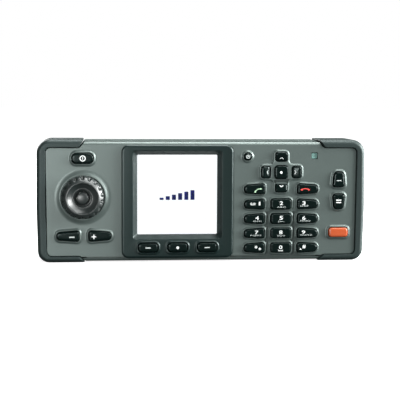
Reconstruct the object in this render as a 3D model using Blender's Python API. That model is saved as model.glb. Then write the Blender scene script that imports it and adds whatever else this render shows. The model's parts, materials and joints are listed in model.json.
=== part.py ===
"""Control head of a vehicle radiotelephone, built as its separate pieces.

Lengths here are millimetres; Solid turns them into Blender's metres. The front faces -Y, +X is to
the right of someone looking at it and +Z is up. Places on the front are (x, z), with z counted from
the surface the head stands on. A depth counts into the body from the flat of the front face, so
whatever stands proud of that face has a negative depth.
"""

import math

import bpy
import bmesh
from mathutils import Vector
from mathutils.geometry import tessellate_polygon

MM = 0.001

# The housing
WIDTH = 186.0
HEIGHT = 69.0
DEPTH = 31.0
KNOB_PROUD = 9.5
FACE_Y = (KNOB_PROUD - DEPTH) / 2
GAP = 0.3
GASKET_GAP = 0.35
SHELL_WALL = 2.0
FACE_THICK = 2.2
SEAM_DEPTH = 9.0
SEAM = 1.0
COVER_FRONT = SEAM_DEPTH + SEAM
COVER_WALL = 2.2
COVER_FLOOR = DEPTH - 2.5
SHELL_TOP = 67.9
COVER_TOP = 68.5
SHELL_BOTTOM = 0.45

# The rubber bumpers that wrap the two ends
BUMPER_IN_TOP_X = 88.1
BUMPER_IN_BOTTOM_X = 87.6
BUMPER_IN_TOP_Z = 64.7
BUMPER_IN_BOTTOM_Z = 3.4
LEG_TOP = (66.4, 69.0)
LEG_BOTTOM = (65.7, 68.8)
LEG_ROUNDING = (1.0, 2.0)
BUMPER_BOW_Z = 30.0
BUMPER_FRONT = -1.1
BUMPER_BACK = 27.0

# The display and its raised bezel
BEZEL_X = -14.3
BEZEL_Z = 34.2
BEZEL_SIZE = (62.9, 63.7)
BEZEL_PROUD = 2.2
BEZEL_BACK = 3.2
SPIGOT_INSET = 2.0
WINDOW_Z = 38.0
RECESS_SIZE = (50.0, 49.4)
WINDOW_SIZE = (45.1, 44.9)
REBATE_SIZE = (49.8, 49.4)
REBATE_FLOOR = 2.0

# Keys: how they stand in the face and how far they travel
KEY_PROUD = 2.0
KEY_EDGE = 0.6
TRAVEL = 0.8
COLLAR_PROUD = 0.8
COLLAR_CREST = 0.45
COLLAR_BASE = 0.85
FLANGE_THICK = 1.0
MAT_FRONT = FACE_THICK + GAP + FLANGE_THICK + TRAVEL + GAP
BOARD_FRONT = 7.4
BOARD_THICK = 1.6
BOARD_BACK = BOARD_FRONT + BOARD_THICK
MAT_BACK = BOARD_FRONT - GAP

# Where the controls sit
CONTROL_X = -67.3
POWER_Z = 58.5
KNOB_Z = 36.8
VOLUME_X = -66.7
VOLUME_Z = 15.0
VOLUME_STEP = 8.9
SOFT_Z = 8.4
SOFT_PITCH = 16.65
PAD_X = 44.5
PAD_PITCH = (15.15, 8.28)
PAD_BOTTOM_Z = 7.75
CALL_Z = 41.2
NAV_Z = 50.7
NAV_STEP = 8.75
NAV_ARM = 6.8
FUNCTION_X = 77.6
FUNCTION_Z = (46.5, 33.9)
EMERGENCY_Z = 16.3
ROUND_KEY = (25.3, 59.5)
INDICATOR = (63.6, 59.9)
INDICATOR_SIZE = 3.7

# The knob, seen as radii about its axis
KNOB_RADIUS = 11.9
KNOB_RIM = 8.6
KNOB_BORE = 3.75
FLUTES = 18
FLUTE_STEPS = 4
MOUND_RADIUS = 15.9
ENCODER_NECK = 4.6

# Fasteners and the back
SCREW_X = 82.0
SCREW_Z = (9.3, 59.0)
SCREW_BORE = 1.5
SCREW_HEAD_BORE = 2.6
SCREW_SEAT = 14.0
SCREW_POST = 3.2
INSERT_X = 19.0
INSERT_Z = (27.0, 57.0)
INSERT_BORE = 2.6
INSERT_FLOOR = 25.0
CONNECTOR_Z = 13.0
CONNECTOR_SIZE = (24.0, 12.0)
CONNECTOR_BACK = DEPTH - 0.4
SOCKET_SIZE = (18.0, 6.5)
SOCKET_FLOOR = 23.0
PLATE_PLACE = (-52.0, 38.0)
PLATE_SIZE = (40.0, 22.0)
PLATE_RECESS = 0.8

ROUND_STEPS = 28
SMALL_STEPS = 12
CORNER_STEPS = 2
LEAST_RADIUS = 0.05
SMOOTH_ANGLE = math.radians(32)

RUBBER = ((0.045, 0.055, 0.055), 0.62, 0.0)
FACE_PLASTIC = ((0.19, 0.225, 0.215), 0.45, 0.0)
BEZEL_PLASTIC = ((0.016, 0.024, 0.024), 0.42, 0.0)
KEY_PLASTIC = ((0.010, 0.014, 0.014), 0.22, 0.0)
ORANGE = ((0.72, 0.09, 0.02), 0.25, 0.0)
GLASS = ((0.75, 0.8, 0.8), 0.08, 0.0)
PANEL = ((0.85, 0.87, 0.88), 0.3, 0.0)
TEAL = ((0.25, 0.55, 0.52), 0.2, 0.0)
BOARD_GREEN = ((0.02, 0.13, 0.06), 0.45, 0.0)
SILICONE = ((0.25, 0.26, 0.26), 0.7, 0.0)
STEEL = ((0.55, 0.56, 0.57), 0.3, 1.0)
BRASS = ((0.62, 0.42, 0.14), 0.35, 1.0)
TIN = ((0.6, 0.6, 0.58), 0.4, 1.0)
LABEL = ((0.5, 0.5, 0.49), 0.5, 0.0)


def outline(corners, grow=0.0, steps=CORNER_STEPS):
    """Points round a polygon with rounded corners, moved outwards by `grow`.

    Each corner is (x, z, radius), anticlockwise. Every `grow` gives the same number of points.
    """
    points = []
    for i, (x, z, radius) in enumerate(corners):
        here = Vector((x, z))
        before = Vector(corners[i - 1][:2])
        after = Vector(corners[(i + 1) % len(corners)][:2])
        inward = (here - before).normalized()
        onward = (after - here).normalized()
        bend = math.copysign(1.0, inward.x * onward.y - inward.y * onward.x)
        normals = Vector((inward.y, -inward.x)), Vector((onward.y, -onward.x))
        middle = (normals[0] + normals[1]) / (1 + normals[0].dot(normals[1]))
        rounding = max(radius + grow * bend, LEAST_RADIUS)
        centre = here + middle * (grow - rounding * bend)
        first = math.atan2(normals[0].y * bend, normals[0].x * bend)
        turn = math.acos(max(-1.0, min(1.0, normals[0].dot(normals[1])))) * bend
        for k in range(steps + 1):
            angle = first + turn * k / steps
            points.append((centre.x + rounding * math.cos(angle), centre.y + rounding * math.sin(angle)))
    return points


def box_corners(place, size, radius):
    """The four corners of a rectangle about a place."""
    x, z = place
    half_x, half_z = size[0] / 2, size[1] / 2
    return [
        (x - half_x, z - half_z, radius),
        (x + half_x, z - half_z, radius),
        (x + half_x, z + half_z, radius),
        (x - half_x, z + half_z, radius),
    ]


def round_corners(place, radius):
    return box_corners(place, (2 * radius, 2 * radius), radius)


def circle(place, radius, steps=SMALL_STEPS):
    turns = (2 * math.pi * k / steps for k in range(steps))
    return [(place[0] + radius * math.cos(a), place[1] + radius * math.sin(a)) for a in turns]


class Solid:
    """A closed body made of rings of points, each ring at one depth."""

    def __init__(self, origin=(0.0, 0.0), depth=0.0):
        self.mesh = bmesh.new()
        self.origin = Vector((origin[0], FACE_Y + depth, origin[1])) * MM

    def ring(self, points, depth):
        places = (Vector((x, FACE_Y + depth, z)) * MM - self.origin for x, z in points)
        return [self.mesh.verts.new(place) for place in places]

    def walls(self, *rings):
        """Sides from each ring to the next."""
        for near, far in zip(rings, rings[1:]):
            for i in range(len(near)):
                self.mesh.faces.new((near[i - 1], near[i], far[i], far[i - 1]))

    def cap(self, rim, holes=()):
        """A flat face inside the rim, open at the holes."""
        loops = [rim, *holes]
        flat = [vert for loop in loops for vert in loop]
        places = [[Vector((v.co.x, v.co.z, 0.0)) / MM for v in loop] for loop in loops]
        for corners in tessellate_polygon(places):
            self.mesh.faces.new([flat[i] for i in corners])

    def finish(self, name, look, parent):
        """Makes the object, with its origin where the solid was started."""
        bmesh.ops.recalc_face_normals(self.mesh, faces=self.mesh.faces)
        data = bpy.data.meshes.new(name)
        self.mesh.to_mesh(data)
        self.mesh.free()
        data.shade_smooth()
        data.set_sharp_from_angle(angle=SMOOTH_ANGLE)
        data.materials.append(make_material(name, *look))
        obj = bpy.data.objects.new(name, data)
        obj.location = self.origin
        obj.parent = parent
        bpy.context.scene.collection.objects.link(obj)
        return obj


def make_material(name, colour, roughness, metallic):
    material = bpy.data.materials.new(name + "_material")
    material.use_nodes = True
    shader = material.node_tree.nodes["Principled BSDF"]
    shader.inputs["Base Color"].default_value = (*colour, 1.0)
    shader.inputs["Roughness"].default_value = roughness
    shader.inputs["Metallic"].default_value = metallic
    material.diffuse_color = (*colour, 1.0)
    return material


def plate(name, look, parent, corners, depths, holes=()):
    """A flat piece of one thickness; its holes are lists of points."""
    solid = Solid(corners[0][:2], depths[0])
    faces = []
    for depth in depths:
        rim = solid.ring(outline(corners), depth)
        faces.append((rim, [solid.ring(hole, depth) for hole in holes]))
        solid.cap(rim, faces[-1][1])
    solid.walls(faces[0][0], faces[1][0])
    for near, far in zip(faces[0][1], faces[1][1]):
        solid.walls(near, far)
    return solid.finish(name, look, parent)


def turned(name, look, parent, place, profile, steps=SMALL_STEPS, bored=False):
    """A piece turned about an axis through `place` along Y, from (radius, depth) pairs."""
    solid = Solid(place)
    rings = [solid.ring(circle(place, radius, steps), depth) for radius, depth in profile]
    solid.walls(*rings)
    if bored:
        solid.walls(rings[-1], rings[0])
    else:
        solid.cap(rings[0])
        solid.cap(rings[-1])
    return solid.finish(name, look, parent)


# The controls: each key is its corners about its own place


def key_corners(kind):
    """Outline of a key about its own centre, anticlockwise from its lower left."""
    if kind == "pad_left":
        return [(-5.7, -2.2, 1.8), (5.7, -2.9, 1.2), (5.7, 2.9, 1.3), (-5.7, 2.0, 1.9)]
    if kind == "pad_middle":
        return box_corners((0, 0), (11.5, 5.8), 1.4)
    if kind == "pad_right":
        return [(-5.7, -2.9, 1.2), (5.7, -2.2, 1.8), (5.7, 2.0, 1.9), (-5.7, 2.9, 1.3)]
    if kind == "volume_left":
        return [(-6.1, -2.0, 1.8), (6.1, -3.0, 1.3), (6.1, 3.0, 1.3), (-6.1, 2.0, 1.8)]
    if kind == "volume_right":
        return [(-6.1, -3.0, 1.3), (6.1, -2.0, 1.8), (6.1, 2.0, 1.8), (-6.1, 3.0, 1.3)]
    if kind == "power":
        return box_corners((0, 0), (11.6, 5.6), 2.3)
    if kind == "soft":
        return box_corners((0, 0), (10.8, 4.8), 1.7)
    if kind == "nav_wide":
        return box_corners((0, 0), (NAV_ARM, 5.3), 1.5)
    if kind == "nav_tall":
        return box_corners((0, 0), (5.3, NAV_ARM), 1.5)
    if kind == "nav_select":
        return box_corners((0, 0), (7.3, 7.3), 1.6)
    if kind == "round":
        return round_corners((0, 0), 2.0)
    if kind == "function_upper":
        return [(-3.4, -4.2, 1.4), (3.4, -4.2, 1.4), (2.5, 4.2, 1.8), (-2.5, 4.2, 1.8)]
    if kind == "function_lower":
        return [(-2.5, -4.2, 1.8), (2.5, -4.2, 1.8), (3.4, 4.2, 1.4), (-3.4, 4.2, 1.4)]
    return box_corners((0, 0), (10.8, 5.2), 1.6)


def key_places():
    """Every key as (name, kind, (x, z))."""
    keys = [
        ("power_key", "power", (CONTROL_X, POWER_Z)),
        ("volume_down_key", "volume_left", (VOLUME_X - VOLUME_STEP, VOLUME_Z)),
        ("volume_up_key", "volume_right", (VOLUME_X + VOLUME_STEP, VOLUME_Z)),
        ("soft_key_left", "soft", (BEZEL_X - SOFT_PITCH, SOFT_Z)),
        ("soft_key_middle", "soft", (BEZEL_X, SOFT_Z)),
        ("soft_key_right", "soft", (BEZEL_X + SOFT_PITCH, SOFT_Z)),
        ("nav_up_key", "nav_wide", (PAD_X, NAV_Z + NAV_STEP)),
        ("nav_down_key", "nav_wide", (PAD_X, NAV_Z - NAV_STEP)),
        ("nav_left_key", "nav_tall", (PAD_X - NAV_STEP, NAV_Z)),
        ("nav_right_key", "nav_tall", (PAD_X + NAV_STEP, NAV_Z)),
        ("nav_select_key", "nav_select", (PAD_X, NAV_Z)),
        ("call_key", "pad_left", (PAD_X - PAD_PITCH[0], CALL_Z)),
        ("end_key", "pad_right", (PAD_X + PAD_PITCH[0], CALL_Z)),
        ("light_key", "round", ROUND_KEY),
        ("function_key_upper", "function_upper", (FUNCTION_X, FUNCTION_Z[0])),
        ("function_key_lower", "function_lower", (FUNCTION_X, FUNCTION_Z[1])),
        ("emergency_key", "emergency", (FUNCTION_X, EMERGENCY_Z)),
    ]
    rows = (("star", "0", "hash"), ("7", "8", "9"), ("4", "5", "6"), ("1", "2", "3"))
    kinds = ("pad_left", "pad_middle", "pad_right")
    for row, marks in enumerate(rows):
        for column, (mark, kind) in enumerate(zip(marks, kinds)):
            place = (PAD_X + (column - 1) * PAD_PITCH[0], PAD_BOTTOM_Z + row * PAD_PITCH[1])
            keys.append(("key_" + mark, kind, place))
    return keys


def at(place, corners):
    """The same corners moved to a place."""
    return [(place[0] + x, place[1] + z, radius) for x, z, radius in corners]


def make_key(name, kind, place, parent):
    """A hard cap with a flange behind the face that keeps it from falling out."""
    corners = at(place, key_corners(kind))
    soft, nav = kind == "soft", kind.startswith("nav")
    proud = BEZEL_PROUD + 1.0 if soft else KEY_PROUD
    seat = (BEZEL_BACK if soft else FACE_THICK) + GAP
    flange = outline(corners, 0.55 if nav else 0.8)
    solid = Solid(place, -proud)
    rings = [
        solid.ring(flange, seat + FLANGE_THICK),
        solid.ring(flange, seat),
        solid.ring(outline(corners), seat),
        solid.ring(outline(corners), KEY_EDGE - proud),
        solid.ring(outline(corners, -KEY_EDGE), -proud),
    ]
    solid.walls(*rings)
    solid.cap(rings[0])
    solid.cap(rings[-1])
    solid.finish(name, ORANGE if name == "emergency_key" else KEY_PLASTIC, parent)


# The housing: front shell, rear cover and the bumpers share one parting line


def housing_corners(top):
    """The housing's outline, stepped in at both ends to take the bumpers."""
    bottom = SHELL_BOTTOM
    in_bottom, in_top = BUMPER_IN_BOTTOM_Z, BUMPER_IN_TOP_Z
    right = [
        (LEG_BOTTOM[0], bottom, LEG_ROUNDING[0]),
        (LEG_BOTTOM[1], in_bottom, LEG_ROUNDING[1]),
        (BUMPER_IN_BOTTOM_X, in_bottom, 3.0),
        (BUMPER_IN_TOP_X, in_top, 3.0),
        (LEG_TOP[1], in_top, LEG_ROUNDING[1]),
        (LEG_TOP[0], top, LEG_ROUNDING[0]),
    ]
    return right + [(-x, z, radius) for x, z, radius in reversed(right)]


def face_corners(inset, bevel):
    """The shell's outline, drawn in by `bevel` along its bare edges and by `inset` beside the bumpers."""
    bottom, top = SHELL_BOTTOM + bevel, SHELL_TOP - bevel
    in_bottom, in_top = BUMPER_IN_BOTTOM_Z + inset, BUMPER_IN_TOP_Z - inset

    def beside(leg, ends, z):
        return leg[0] + (leg[1] - leg[0]) * (z - ends[0]) / (ends[1] - ends[0]) - inset

    low, high = (SHELL_BOTTOM, BUMPER_IN_BOTTOM_Z), (SHELL_TOP, BUMPER_IN_TOP_Z)
    tight, wide = LEG_ROUNDING[0] - inset, LEG_ROUNDING[1] + inset
    right = [
        (beside(LEG_BOTTOM, low, bottom), bottom, tight),
        (beside(LEG_BOTTOM, low, in_bottom), in_bottom, wide),
        (BUMPER_IN_BOTTOM_X - inset, in_bottom, 3.0 - inset),
        (BUMPER_IN_TOP_X - inset, in_top, 3.0 - inset),
        (beside(LEG_TOP, high, in_top), in_top, wide),
        (beside(LEG_TOP, high, top), top, tight),
    ]
    return right + [(-x, z, radius) for x, z, radius in reversed(right)]


def cross_corners():
    """The raised cross that holds the five navigation keys."""
    arm = NAV_ARM / 2 + GAP + COLLAR_BASE
    reach = NAV_STEP + 2.65 + GAP + COLLAR_BASE
    turns = [(reach, -arm), (reach, arm), (arm, arm), (arm, reach), (-arm, reach), (-arm, arm)]
    turns += [(-x, -z) for x, z in turns]
    inner = 2.0
    outer = 2.6
    return [(PAD_X + x, NAV_Z + z, inner if abs(x) == abs(z) else outer) for x, z in turns]


def make_front_shell(parent):
    corners = housing_corners(SHELL_TOP)
    solid = Solid()

    def side(grow, depth):
        return solid.ring(outline(corners, grow), depth)

    rear_rim, front_edge = side(-GAP, SEAM_DEPTH), side(-GAP, 1.5)
    shoulder = solid.ring(outline(face_corners(0.35, 0.75)), 0.4)
    face_edge = solid.ring(outline(face_corners(0.65, 1.9)), 0.0)
    inside_rim, inside = side(-SHELL_WALL, SEAM_DEPTH), side(-SHELL_WALL, FACE_THICK)
    solid.walls(inside, inside_rim, rear_rim, front_edge, shoulder, face_edge)

    face_holes, back_holes = [], []
    cross_holes = []
    for _, kind, place in key_places():
        if kind == "soft":
            continue
        here = at(place, key_corners(kind))
        back = solid.ring(outline(here, GAP), FACE_THICK)
        back_holes.append(back)
        if kind.startswith("nav"):
            mouth = solid.ring(outline(here, GAP), -COLLAR_PROUD)
            cross_holes.append(mouth)
            solid.walls(mouth, back)
            continue
        foot = solid.ring(outline(here, GAP + COLLAR_BASE), 0.0)
        crest = solid.ring(outline(here, GAP + COLLAR_CREST), -COLLAR_PROUD)
        mouth = solid.ring(outline(here, GAP), 0.1 - COLLAR_PROUD)
        solid.walls(foot, crest, mouth, back)
        face_holes.append(foot)

    cross = cross_corners()
    foot = solid.ring(outline(cross), 0.0)
    crest = solid.ring(outline(cross, COLLAR_CREST - COLLAR_BASE), -COLLAR_PROUD)
    solid.walls(foot, crest)
    solid.cap(crest, cross_holes)
    face_holes.append(foot)

    knob = (CONTROL_X, KNOB_Z)
    mound = [(MOUND_RADIUS, 0.0), (14.5, -0.6), (13.1, -1.2), (12.6, -1.1), (12.35, 0.3)]
    mound += [(ENCODER_NECK + GAP, 0.3), (ENCODER_NECK + GAP, FACE_THICK)]
    rings = [solid.ring(circle(knob, radius, ROUND_STEPS), depth) for radius, depth in mound]
    solid.walls(*rings)
    face_holes.append(rings[0])
    back_holes.append(rings[-1])

    spigot = box_corners((BEZEL_X, BEZEL_Z), BEZEL_SIZE, 4.0)
    light = box_corners(INDICATOR, (INDICATOR_SIZE, INDICATOR_SIZE), 0.5)
    for hole, grow in ((spigot, GAP - SPIGOT_INSET), (light, 0.0)):
        mouth = solid.ring(outline(hole, grow), 0.0)
        back = solid.ring(outline(hole, grow), FACE_THICK)
        solid.walls(mouth, back)
        face_holes.append(mouth)
        back_holes.append(back)

    for place in screw_places():
        foot = solid.ring(circle(place, 2.6), FACE_THICK)
        top = solid.ring(circle(place, 2.6), BOARD_FRONT - GAP)
        hole = solid.ring(circle(place, SCREW_BORE), BOARD_FRONT - GAP)
        floor = solid.ring(circle(place, SCREW_BORE), FACE_THICK + 1.2)
        solid.walls(foot, top, hole, floor)
        solid.cap(floor)
        back_holes.append(foot)

    solid.cap(face_edge, face_holes)
    solid.cap(inside, back_holes)
    return solid.finish("front_shell", FACE_PLASTIC, parent)


def screw_places():
    return [(x, z) for x in (-SCREW_X, SCREW_X) for z in SCREW_Z]


def insert_places():
    return [(x, z) for x in (-INSERT_X, INSERT_X) for z in INSERT_Z]


def make_rear_cover(parent):
    """A deep pan with screw posts, blind bosses for the inserts and an opening for the connector."""
    corners = housing_corners(COVER_TOP)
    solid = Solid(depth=DEPTH)

    def side(grow, depth):
        return solid.ring(outline(corners, grow), depth)

    inside, inside_rim = side(-COVER_WALL, COVER_FLOOR), side(-COVER_WALL, COVER_FRONT)
    front_rim, back_edge, back = side(-GAP, COVER_FRONT), side(-GAP, DEPTH - 1.5), side(-1.8, DEPTH)
    solid.walls(inside, inside_rim, front_rim, back_edge, back)
    outer_holes, inner_holes = [], []

    for place in screw_places():
        path = [(SCREW_POST, COVER_FLOOR), (SCREW_POST, BOARD_BACK + GAP), (SCREW_BORE, BOARD_BACK + GAP)]
        path += [(SCREW_BORE, SCREW_SEAT), (SCREW_HEAD_BORE, SCREW_SEAT), (SCREW_HEAD_BORE, DEPTH)]
        rings = [solid.ring(circle(place, radius), depth) for radius, depth in path]
        solid.walls(*rings)
        inner_holes.append(rings[0])
        outer_holes.append(rings[-1])

    for place in insert_places():
        foot, top = (solid.ring(circle(place, 4.0), depth) for depth in (COVER_FLOOR, INSERT_FLOOR - 1.0))
        solid.walls(foot, top)
        solid.cap(top)
        floor, mouth = (solid.ring(circle(place, INSERT_BORE), depth) for depth in (INSERT_FLOOR, DEPTH))
        solid.walls(floor, mouth)
        solid.cap(floor)
        inner_holes.append(foot)
        outer_holes.append(mouth)

    opening = outline(box_corners((0, CONNECTOR_Z), CONNECTOR_SIZE, 1.5))
    near, far = solid.ring(opening, COVER_FLOOR), solid.ring(opening, DEPTH)
    solid.walls(near, far)
    inner_holes.append(near)
    outer_holes.append(far)

    recess = outline(box_corners(PLATE_PLACE, PLATE_SIZE, 1.5), GAP)
    floor, mouth = solid.ring(recess, DEPTH - PLATE_RECESS), solid.ring(recess, DEPTH)
    solid.walls(floor, mouth)
    solid.cap(floor)
    outer_holes.append(mouth)

    solid.cap(inside, inner_holes)
    solid.cap(back, outer_holes)
    return solid.finish("rear_cover", FACE_PLASTIC, parent)


def make_bumper(name, mirror, parent):
    """A C of rubber round one end; its legs reach along the top and the bottom."""
    half = WIDTH / 2
    corners = [
        (LEG_BOTTOM[0], 0.0, 0.5),
        (half - 0.75, 0.0, 6.5),
        (half, BUMPER_BOW_Z, 60.0),
        (half - 0.35, HEIGHT, 7.7),
        (LEG_TOP[0], HEIGHT, 0.5),
        (LEG_TOP[1], BUMPER_IN_TOP_Z, LEG_ROUNDING[1]),
        (BUMPER_IN_TOP_X, BUMPER_IN_TOP_Z, 3.0),
        (BUMPER_IN_BOTTOM_X, BUMPER_IN_BOTTOM_Z, 3.0),
        (LEG_BOTTOM[1], BUMPER_IN_BOTTOM_Z, LEG_ROUNDING[1]),
    ]
    if mirror:
        corners = [(-x, z, radius) for x, z, radius in reversed(corners)]
    solid = Solid((-half if mirror else half, 0.0))
    steps = [(-0.6, BUMPER_BACK), (0.0, BUMPER_BACK - 0.6), (0.0, 0.9), (-0.4, -0.3), (-1.3, BUMPER_FRONT)]
    rings = [solid.ring(outline(corners, grow), depth) for grow, depth in steps]
    solid.walls(*rings)
    solid.cap(rings[0])
    solid.cap(rings[-1])
    return solid.finish(name, RUBBER, parent)


def make_gasket(parent):
    corners = housing_corners(SHELL_TOP)
    near, far = SEAM_DEPTH + GASKET_GAP, COVER_FRONT - GASKET_GAP
    outer, inner = -0.7, -1.7
    solid = Solid(depth=far)
    spans = ((outer, near), (outer, far), (inner, far), (inner, near))
    rings = [solid.ring(outline(corners, grow), depth) for grow, depth in spans]
    solid.walls(*rings, rings[0])
    return solid.finish("housing_gasket", SILICONE, parent)


# The display


def make_bezel(parent):
    """Raised frame with a funnel down to the window and a bar for three keys."""
    frame = box_corners((BEZEL_X, BEZEL_Z), BEZEL_SIZE, 4.0)
    middle = (BEZEL_X, WINDOW_Z)
    solid = Solid((BEZEL_X, BEZEL_Z))

    def side(corners, grow, depth):
        return solid.ring(outline(corners, grow), depth)

    spigot_back = side(frame, -SPIGOT_INSET, BEZEL_BACK)
    front = side(frame, -1.3, -BEZEL_PROUD)
    solid.walls(
        spigot_back,
        side(frame, -SPIGOT_INSET, -GAP),
        side(frame, 0.0, -GAP),
        side(frame, 0.0, -1.1),
        front,
    )
    recess = side(box_corners(middle, RECESS_SIZE, 1.6), 0.0, -BEZEL_PROUD)
    window = box_corners(middle, WINDOW_SIZE, 0.6)
    rebate = box_corners(middle, REBATE_SIZE, 0.8)
    rebate_back = side(rebate, 0.0, BEZEL_BACK)
    solid.walls(
        recess,
        side(window, 0.0, REBATE_FLOOR - 0.4),
        side(window, 0.0, REBATE_FLOOR),
        side(rebate, 0.0, REBATE_FLOOR),
        rebate_back,
    )
    front_holes, back_holes = [recess], [rebate_back]
    for _, kind, place in key_places():
        if kind == "soft":
            here = at(place, key_corners(kind))
            rings = side(here, 0.9, -BEZEL_PROUD), side(here, GAP, -1.5), side(here, GAP, BEZEL_BACK)
            solid.walls(*rings)
            front_holes.append(rings[0])
            back_holes.append(rings[-1])
    solid.cap(front, front_holes)
    solid.cap(spigot_back, back_holes)
    return solid.finish("display_bezel", BEZEL_PLASTIC, parent)


def make_display(parent):
    """Lens, panel and backlight, stacked in and behind the bezel's rebate."""
    middle = (BEZEL_X, WINDOW_Z)
    size = (REBATE_SIZE[0] - 2 * GAP, REBATE_SIZE[1] - 2 * GAP)
    corners = box_corners(middle, size, 0.7)
    plate("display_lens", GLASS, parent, corners, (REBATE_FLOOR + GAP, 3.3))
    plate("lcd_panel", PANEL, parent, corners, (3.6, 5.4))
    plate("backlight", SILICONE, parent, corners, (5.7, MAT_BACK))


# The knob, on its axis


def make_knob(parent):
    """A fluted knob, dished in front, with a bore for its button and a hollow back."""
    place = (CONTROL_X, KNOB_Z)
    solid = Solid(place)
    steps = FLUTES * FLUTE_STEPS

    def ring(radius, depth, flute=0.0):
        points = []
        for k in range(steps):
            reach = radius - flute * max(0.0, math.cos(2 * math.pi * k / FLUTE_STEPS))
            angle = 2 * math.pi * k / steps + math.pi / 2
            points.append((place[0] + reach * math.cos(angle), place[1] + reach * math.sin(angle)))
        return solid.ring(points, depth)

    outside = [ring(11.6, -0.2), ring(KNOB_RADIUS, -0.8), ring(11.75, -2.6)]
    outside += [ring(11.55, -4.2, 0.75), ring(11.05, 0.9 - KNOB_PROUD, 1.4), ring(10.25, -KNOB_PROUD, 0.65)]
    front = [ring(KNOB_RIM, -KNOB_PROUD), ring(5.3, -6.8), ring(4.9, -6.6), ring(4.9, -5.6)]
    hollow = [ring(KNOB_BORE, -5.4), ring(KNOB_BORE, -1.0), ring(5.4, -1.0), ring(5.4, -4.6)]
    hollow += [ring(9.9, -4.6), ring(10.4, -0.2)]
    solid.walls(*outside, *front, *hollow, outside[0])
    return solid.finish("volume_knob", KEY_PLASTIC, parent)


def make_knob_inside(parent):
    """What turns and slides inside the knob, and the encoder it stands on."""
    place = (CONTROL_X, KNOB_Z)
    bore = KNOB_BORE - GAP
    shaft = [(1.5, -4.4), (bore, -4.4), (bore, 6.5), (1.5, 6.5)]
    turned("encoder_shaft", STEEL, parent, place, shaft, bored=True)
    button = [(1.2, 5.5), (1.2, -5.5), (bore, -5.5), (bore, -7.0), (2.8, -7.6), (1.4, -7.9)]
    turned("knob_button", KEY_PLASTIC, parent, place, button, steps=24)
    body = Solid(place)
    block = box_corners(place, (14.0, 14.0), 1.0)
    shoulder, back = body.ring(outline(block), 2.6), body.ring(outline(block), MAT_BACK)
    neck = [body.ring(circle(place, ENCODER_NECK), depth) for depth in (2.6, -0.6)]
    bore_rings = [body.ring(circle(place, KNOB_BORE), depth) for depth in (-0.6, MAT_BACK)]
    body.walls(*neck, *bore_rings)
    body.walls(shoulder, back)
    body.cap(shoulder, [neck[0]])
    body.cap(back, [bore_rings[-1]])
    body.finish("encoder_body", TIN, parent)


# Boards, mats and the pieces behind the face


def make_inside(parent):
    x_end, z_low, z_high = 85.0, 6.2, 61.8
    board = box_corners((0, (z_low + z_high) / 2), (2 * x_end, z_high - z_low), 3.0)
    holes = [circle(place, 1.9) for place in screw_places()]
    plate("main_board", BOARD_GREEN, parent, board, (BOARD_FRONT, BOARD_BACK), holes)
    shield = box_corners((BEZEL_X, BEZEL_Z), (44.0, 34.0), 1.0)
    plate("shield_can", TIN, parent, shield, (BOARD_BACK + GAP, 12.5))

    light = circle(INDICATOR, 2.6)
    mats = (
        ("keypad_mat", (43.8, 33.6), (45.2, 58.6), MAT_FRONT, [light]),
        ("function_key_mat", (FUNCTION_X, 31.9), (11.6, 38.6), MAT_FRONT, []),
        ("power_key_mat", (CONTROL_X, POWER_Z), (14.0, 6.4), MAT_FRONT, []),
        ("volume_key_mat", (VOLUME_X, VOLUME_Z), (29.6, 5.4), MAT_FRONT, []),
        ("soft_key_mat", (BEZEL_X, SOFT_Z), (48.0, 7.0), MAT_FRONT + 1.0, []),
    )
    for name, middle, size, front, holes in mats:
        plate(name, SILICONE, parent, box_corners(middle, size, 1.0), (front, MAT_BACK), holes)

    guide = box_corners(INDICATOR, (INDICATOR_SIZE - 2 * GAP,) * 2, 0.3)
    plate("indicator_light_guide", TEAL, parent, guide, (0.9, MAT_BACK))


def make_back(parent):
    size = (CONNECTOR_SIZE[0] - 2 * GAP, CONNECTOR_SIZE[1] - 2 * GAP)
    solid = Solid((0, CONNECTOR_Z), DEPTH)
    body = box_corners((0, CONNECTOR_Z), size, 1.2)
    socket = box_corners((0, CONNECTOR_Z), SOCKET_SIZE, 0.8)
    near, far = solid.ring(outline(body), 20.0), solid.ring(outline(body), CONNECTOR_BACK)
    mouth, floor = solid.ring(outline(socket), CONNECTOR_BACK), solid.ring(outline(socket), SOCKET_FLOOR)
    solid.walls(near, far)
    solid.walls(mouth, floor)
    solid.cap(near)
    solid.cap(far, [mouth])
    solid.cap(floor)
    solid.finish("rear_connector", KEY_PLASTIC, parent)

    label = box_corners(PLATE_PLACE, PLATE_SIZE, 1.5)
    plate("rating_plate", LABEL, parent, label, (DEPTH - PLATE_RECESS + GAP, DEPTH - 0.1))

    for number, place in enumerate(screw_places(), 1):
        seat, head = SCREW_SEAT + GAP, SCREW_HEAD_BORE - GAP
        shank = [(1.2, FACE_THICK + 2.0), (1.2, seat), (head, seat), (head, seat + 2.0)]
        turned(f"cover_screw_{number}", STEEL, parent, place, shank)
    for number, place in enumerate(insert_places(), 1):
        outer, near, far = INSERT_BORE - GAP, INSERT_FLOOR + GAP, DEPTH - 0.2
        tube = [(1.25, near), (outer, near), (outer, far), (1.25, far)]
        turned(f"mount_insert_{number}", BRASS, parent, place, tube, bored=True)


def clear_scene():
    for obj in list(bpy.data.objects):
        bpy.data.objects.remove(obj)


def main():
    clear_scene()
    head = bpy.data.objects.new("control_head", None)
    bpy.context.scene.collection.objects.link(head)
    make_front_shell(head)
    make_rear_cover(head)
    make_gasket(head)
    make_bumper("left_bumper", True, head)
    make_bumper("right_bumper", False, head)
    make_bezel(head)
    make_display(head)
    make_knob(head)
    make_knob_inside(head)
    make_inside(head)
    make_back(head)
    for name, kind, place in key_places():
        make_key(name, kind, place, head)


main()
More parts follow.
